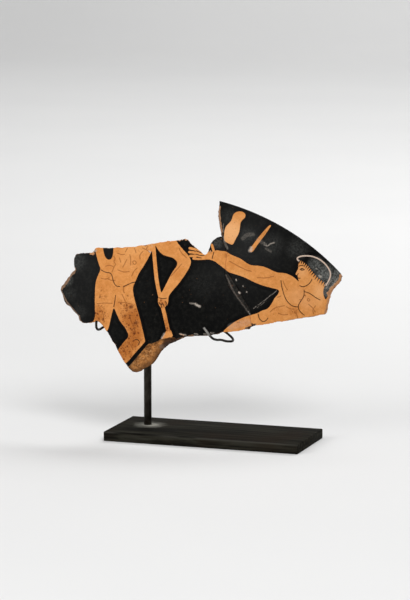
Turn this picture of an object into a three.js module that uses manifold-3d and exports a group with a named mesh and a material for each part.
// A mended fragment of a red-figure drinking cup, shown upright on its display stand.
// Two sherds of the bowl's wall meet at a join that is filled in its open part. They lean on
// the end of a round post and sit in two bent wires. Millimetres, +Z up, the origin in the
// middle of the base's underside, +X along the base, the display's front towards -Y.
import * as THREE from 'three';
import { mergeVertices } from 'three/addons/utils/BufferGeometryUtils.js';
import Module from 'manifold-3d';

const wasm = await Module();
wasm.setup();

// Stand
const BASE_LENGTH = 131.6;
const BASE_DEPTH = 54.9;
const BASE_HEIGHT = 6.3;
const BASE_EASING = 0.5;
const POST_RADIUS = 2.5;
const POST_X = -46.6;
const POST_Y = 4.1;
const POST_TOP = 102;
const POST_SOCKET_DEPTH = 4.5;
const POST_SIDES = 24;
const HOOK_RADIUS = 0.8;
const HOOK_SIDES = 8;
const HOOK_STEP = 2;

// Clearance between pieces that touch
const GAP = 0.3;

// The drawing board: an upright sheet that faces the display's front, turned and leaning back
// a little. Sherd outlines and wire routes are given on it, across and up from its middle.
const BOARD_TURN = THREE.MathUtils.degToRad(18.9);
const BOARD_LEAN = THREE.MathUtils.degToRad(9.3);
const BOARD_MIDDLE = new THREE.Vector3(-11.6, 17.2, 88.4);
const SIGHT_DISTANCE = 2200;

// The bowl that the sherds are from: a shallow dish whose outside is part of a sphere
const BOWL_RADIUS = 163.7;
const BOWL_CENTRE = new THREE.Vector3(4.8, -12.7, -145);
const BOWL_TURN = THREE.MathUtils.degToRad(-15);
const BOWL_DROP = THREE.MathUtils.degToRad(-30);
const RIM_ANGLE = THREE.MathUtils.degToRad(60);
const LIP_THICKNESS = 3.4;
const FLOOR_THICKNESS = 8.5;
const THICKENING = 1.3;
const PROFILE_STEPS = 24;
const LIP_STEPS = 5;
const TURN_STEPS = 144;

// Broken edges
const BREAK_STEP = 3;
const BREAK_DEPTH = 0.3;
const CUTTER_REACH = 260;
const FILL_SINK = 0.7;

// The join, from the top of the crack down: across, up, and half the width of the opening
const JOIN = [
  [11, 41.6, 0.15], [12, 37.7, 0.15], [13.7, 33.8, 0.15], [14, 27.3, 0.15], [13.3, 22.1, 0.15],
  [13.7, 17.6, 0.9], [16.9, 10.4, 2.2], [20.8, 4.6, 1.9], [24.7, -1.3, 1.3], [28, -5.9, 0.9],
  [29.3, -9.1, 0.6], [29.6, -11.5, 0.15], [30.2, -17.6, 0.15],
];
const JOIN_SLANT = [0.87, 0.5];

// The figure sherd's free edge, from the top of the join to the left and round to its foot
const FIGURE_EDGE = [
  [7.4, 40.6], [5.2, 38.8], [3.7, 36.9], [2.6, 33.2], [1.3, 30.2], [-0.3, 29.4], [-2.7, 31.6],
  [-5.2, 33.7], [-8.6, 36.4], [-10.9, 39.3], [-12.6, 40.1], [-18.2, 39], [-24.1, 38.6],
  [-31.5, 37.1], [-38.8, 35.9], [-48.6, 34.7], [-59.6, 34], [-71, 34.2], [-73.2, 31.2],
  [-80, 30.7], [-84.2, 29.9], [-85.3, 26.8], [-84.9, 19.6], [-87.4, 18.9], [-90.4, 14.7],
  [-92.9, 11], [-94.8, 8.7], [-94, 6], [-92.8, 3.3], [-91.5, -0.9], [-90.3, -2.9], [-88, -4.3],
  [-85.4, -7.5], [-82.6, -10.4], [-82.2, -13.2], [-80, -15], [-77.4, -15.2], [-73.5, -14.4],
  [-69, -14.2], [-66.2, -17.1], [-63.4, -21.1], [-62.1, -23.4], [-60.1, -27.2], [-57.5, -31.3],
  [-56.5, -33.7], [-54.6, -37.1], [-51, -42.5], [-49.6, -44.8], [-47.5, -46.8], [-45.2, -47.4],
  [-41.6, -46.4], [-39.6, -44.6], [-35, -42.4], [-31.2, -37], [-28.3, -32.8], [-25, -29.8],
  [-20.4, -27.6], [-15, -25.2], [-11.8, -23.9], [-2.9, -23.5], [3.3, -23.3], [8.5, -22.4],
  [11.1, -21.2], [18.7, -20.6], [26, -19.2], [29.3, -18.9],
];

// The rim sherd's free edge, from the foot of the join to the right, past the rim, and down
// the left side again. The four points past the rim are outside the bowl.
const RIM_EDGE = [
  [31.9, -16.8], [40.2, -15.8], [47.1, -14.2], [53.8, -13.5], [62.9, -12], [71.9, -10.7],
  [78.6, -9.4], [79.6, -8.6], [80.6, -3.9], [81.6, 0], [82.9, 4.2], [84.2, 6.6], [86.7, 9.7],
  [89.7, 12.9], [90, 15],
  [96, 22], [75, 50], [40, 72], [9.8, 72],
  [9.5, 63.2], [8.8, 57.4], [9.4, 51.6], [10.3, 45.9],
];

// Wire routes: across, up and towards the front. Each starts at the post.
const LEFT_ROUTE = [
  [-40.2, -11.6, -1.9], [-46, -12.6, -4.2], [-55, -14.6, -6.2], [-62, -16.2, -6], [-66, -17.6, -4.4],
  [-68.9, -19.2, -1.6], [-70.3, -18.4, 1.6], [-70.6, -16.2, 3.2], [-70.4, -13.4, 3.6],
];
const RIGHT_ROUTE = [
  [-34.4, -4, -0.6], [-26, -5, -3], [-10, -9.5, -5], [6, -16.5, -6], [16, -23, -4], [18.2, -26.2, 0.5],
  [14.6, -26.8, 5.5], [10.4, -25.8, 11], [7, -25.6, 16.4], [4.4, -24.3, 20.2], [2.6, -22.3, 21.2],
  [-0.8, -17.7, 21.5],
];

const clay = () => new THREE.MeshStandardMaterial({ color: 0x1c1a19, roughness: 0.38, metalness: 0 });
const filler = () => new THREE.MeshStandardMaterial({ color: 0x55564c, roughness: 0.85, metalness: 0 });
const wood = () => new THREE.MeshStandardMaterial({ color: 0x2a2622, roughness: 0.6, metalness: 0 });
const steel = () => new THREE.MeshStandardMaterial({ color: 0x3c3732, roughness: 0.5, metalness: 0.8 });

function named(name, geometry, material) {
  const mesh = new THREE.Mesh(geometry, material);
  mesh.name = name;
  return mesh;
}

// Booleans: from a three.js geometry to a solid and back
function toSolid(geometry) {
  const bare = geometry.clone();
  bare.deleteAttribute('normal');
  bare.deleteAttribute('uv');
  const merged = mergeVertices(bare, 1e-4);
  return new wasm.Manifold(new wasm.Mesh({
    numProp: 3,
    vertProperties: new Float32Array(merged.attributes.position.array),
    triVerts: new Uint32Array(merged.index.array),
  }));
}

function toGeometry(solid) {
  const mesh = solid.getMesh();
  const geometry = new THREE.BufferGeometry();
  geometry.setAttribute('position', new THREE.BufferAttribute(mesh.vertProperties, 3));
  geometry.setIndex(new THREE.BufferAttribute(mesh.triVerts, 1));
  geometry.computeVertexNormals();
  return geometry;
}

// The point of the bowl's outside that is seen through a point of the drawing board
function onWall([across, up]) {
  const eye = new THREE.Vector3(0, 0, SIGHT_DISTANCE);
  const sight = new THREE.Vector3(across, up, -SIGHT_DISTANCE).normalize();
  const fromCentre = eye.clone().sub(BOWL_CENTRE);
  const along = fromCentre.dot(sight);
  const reach = Math.sqrt(along ** 2 - fromCentre.lengthSq() + BOWL_RADIUS ** 2);
  return eye.addScaledVector(sight, -along - reach);
}

// The wall's thickness at an angle from the stem: thin at the lip, thick towards the stem
function thickness(angle) {
  const inwards = 1 - angle / RIM_ANGLE;
  return LIP_THICKNESS + (FLOOR_THICKNESS - LIP_THICKNESS) * inwards ** THICKENING;
}

// The whole bowl, turned about its stem, with its skins moved inwards by sink
function bowl(sink) {
  const outside = [];
  const inside = [];
  for (let i = 0; i <= PROFILE_STEPS; i += 1) {
    const angle = (RIM_ANGLE * i) / PROFILE_STEPS;
    const outer = BOWL_RADIUS - sink;
    const inner = BOWL_RADIUS - thickness(angle) + sink;
    outside.push(new THREE.Vector2(outer * Math.sin(angle), outer * Math.cos(angle)));
    inside.unshift(new THREE.Vector2(inner * Math.sin(angle), inner * Math.cos(angle)));
  }
  const lip = [];
  const middle = outside.at(-1).clone().add(inside[0]).multiplyScalar(0.5);
  const half = outside.at(-1).distanceTo(inside[0]) / 2;
  for (let i = 1; i < LIP_STEPS; i += 1) {
    const sweep = Math.PI / 2 - RIM_ANGLE - (Math.PI * i) / LIP_STEPS;
    lip.push(new THREE.Vector2(half * Math.cos(sweep), half * Math.sin(sweep)).add(middle));
  }
  outside[0].x = 0;
  inside.at(-1).x = 0;
  const profile = [...outside, ...lip, ...inside].reverse();
  const geometry = new THREE.LatheGeometry(profile, TURN_STEPS);
  const stem = new THREE.Vector3(
    Math.cos(BOWL_DROP) * Math.sin(BOWL_TURN),
    Math.sin(BOWL_DROP),
    Math.cos(BOWL_DROP) * Math.cos(BOWL_TURN),
  );
  geometry.applyQuaternion(new THREE.Quaternion().setFromUnitVectors(THREE.Object3D.DEFAULT_UP, stem));
  geometry.translate(BOWL_CENTRE.x, BOWL_CENTRE.y, BOWL_CENTRE.z);
  return toSolid(geometry);
}

// A pyramid with its tip at the bowl's centre, so that its sides break the wall squarely
function breakPyramid(outline) {
  const base = outline.map((point) => {
    const spoke = onWall(point).sub(BOWL_CENTRE);
    return spoke.multiplyScalar(CUTTER_REACH / spoke.z).add(BOWL_CENTRE);
  });
  const flat = base.map((corner) => new THREE.Vector2(corner.x, corner.y));
  const turnsLeft = THREE.ShapeUtils.area(flat) > 0;
  const tip = base.length;
  const faces = THREE.ShapeUtils.triangulateShape(flat, []);
  base.forEach((_, i) => faces.push([(i + 1) % tip, i, tip]));
  const positions = [...base, BOWL_CENTRE].flatMap((corner) => corner.toArray());
  const geometry = new THREE.BufferGeometry();
  geometry.setAttribute('position', new THREE.Float32BufferAttribute(positions, 3));
  geometry.setIndex(faces.flatMap(([a, b, c]) => (turnsLeft ? [a, b, c] : [a, c, b])));
  return toSolid(geometry);
}

// A free broken edge: its corners, with small steps between them
function weathered(edge) {
  const points = [];
  edge.forEach(([x, y], i) => {
    points.push([x, y]);
    if (i === edge.length - 1) return;
    const [dx, dy] = [edge[i + 1][0] - x, edge[i + 1][1] - y];
    const length = Math.hypot(dx, dy);
    const count = Math.round(length / BREAK_STEP);
    for (let k = 1; k < count; k += 1) {
      const aside = BREAK_DEPTH * Math.sin(7.3 * i + 2.9 * k);
      points.push([x + (dx * k) / count - (aside * dy) / length, y + (dy * k) / count + (aside * dx) / length]);
    }
  });
  return points;
}

// One side of the join, at half the opening's width less an inset
function joinSide(side, rows, inset) {
  return rows.map(([x, y, half]) => [
    x + side * (half - inset) * JOIN_SLANT[0],
    y + side * (half - inset) * JOIN_SLANT[1],
  ]);
}

function figureSherd() {
  const joinUpwards = joinSide(-1, JOIN, 0).reverse();
  const outline = [...weathered(FIGURE_EDGE), ...joinUpwards];
  return toGeometry(bowl(0).intersect(breakPyramid(outline)));
}

function rimSherd() {
  const outline = [...joinSide(1, JOIN, 0), ...weathered(RIM_EDGE)];
  return toGeometry(bowl(0).intersect(breakPyramid(outline)));
}

function mendFill() {
  const open = JOIN.filter(([, , half]) => half > GAP);
  const outline = [...joinSide(-1, open, GAP), ...joinSide(1, open, GAP).reverse()];
  return toGeometry(bowl(FILL_SINK).intersect(breakPyramid(outline)));
}

function wireHook(route) {
  const path = new THREE.CatmullRomCurve3(route.map((point) => new THREE.Vector3(...point)));
  const section = new THREE.Shape();
  for (let i = 0; i < HOOK_SIDES; i += 1) {
    const angle = (2 * Math.PI * i) / HOOK_SIDES;
    const corner = [HOOK_RADIUS * Math.cos(angle), HOOK_RADIUS * Math.sin(angle)];
    if (i === 0) section.moveTo(...corner);
    else section.lineTo(...corner);
  }
  section.closePath();
  const steps = Math.round(path.getLength() / HOOK_STEP);
  return new THREE.ExtrudeGeometry(section, { steps, extrudePath: path, bevelEnabled: false });
}

// The block, with eased edges and a blind socket for the post
function baseBlock() {
  const half = { x: BASE_LENGTH / 2 - BASE_EASING, y: BASE_DEPTH / 2 - BASE_EASING };
  const outline = new THREE.Shape();
  outline.moveTo(-half.x, -half.y);
  outline.lineTo(half.x, -half.y);
  outline.lineTo(half.x, half.y);
  outline.lineTo(-half.x, half.y);
  outline.closePath();
  const block = new THREE.ExtrudeGeometry(outline, {
    depth: BASE_HEIGHT - 2 * BASE_EASING,
    bevelSize: BASE_EASING,
    bevelThickness: BASE_EASING,
    bevelSegments: 2,
  });
  block.translate(0, 0, BASE_EASING);
  const socket = new THREE.CylinderGeometry(
    POST_RADIUS + GAP,
    POST_RADIUS + GAP,
    2 * POST_SOCKET_DEPTH,
    POST_SIDES,
  );
  socket.rotateX(Math.PI / 2);
  socket.translate(POST_X, POST_Y, BASE_HEIGHT);
  return toGeometry(toSolid(block).subtract(toSolid(socket)));
}

// The post, with its foot in the socket and a domed top
function postRod() {
  const foot = BASE_HEIGHT - POST_SOCKET_DEPTH + GAP;
  const profile = [new THREE.Vector2(0, foot), new THREE.Vector2(POST_RADIUS, foot)];
  const domeSteps = 4;
  for (let i = 0; i <= domeSteps; i += 1) {
    const angle = (Math.PI / 2) * (i / domeSteps);
    const radius = i === domeSteps ? 0 : POST_RADIUS * Math.cos(angle);
    profile.push(new THREE.Vector2(radius, POST_TOP - POST_RADIUS + POST_RADIUS * Math.sin(angle)));
  }
  const rod = new THREE.LatheGeometry(profile, POST_SIDES);
  rod.rotateX(Math.PI / 2);
  rod.translate(POST_X, POST_Y, 0);
  return rod;
}

// What is laid out on the drawing board
const board = new THREE.Group();
const facing = new THREE.Vector3(
  Math.sin(BOARD_TURN) * Math.cos(BOARD_LEAN),
  -Math.cos(BOARD_TURN) * Math.cos(BOARD_LEAN),
  Math.sin(BOARD_LEAN),
);
const rightwards = new THREE.Vector3(Math.cos(BOARD_TURN), Math.sin(BOARD_TURN), 0);
const upwards = facing.clone().cross(rightwards);
board.quaternion.setFromRotationMatrix(new THREE.Matrix4().makeBasis(rightwards, upwards, facing));
board.position.copy(BOARD_MIDDLE);
board.add(named('figure_sherd', figureSherd(), clay()));
board.add(named('rim_sherd', rimSherd(), clay()));
board.add(named('mend_fill', mendFill(), filler()));
board.add(named('left_hook', wireHook(LEFT_ROUTE), steel()));
board.add(named('right_hook', wireHook(RIGHT_ROUTE), steel()));

const group = new THREE.Group();
group.add(named('base', baseBlock(), wood()));
group.add(named('post', postRod(), steel()));
group.add(board);

export default group;
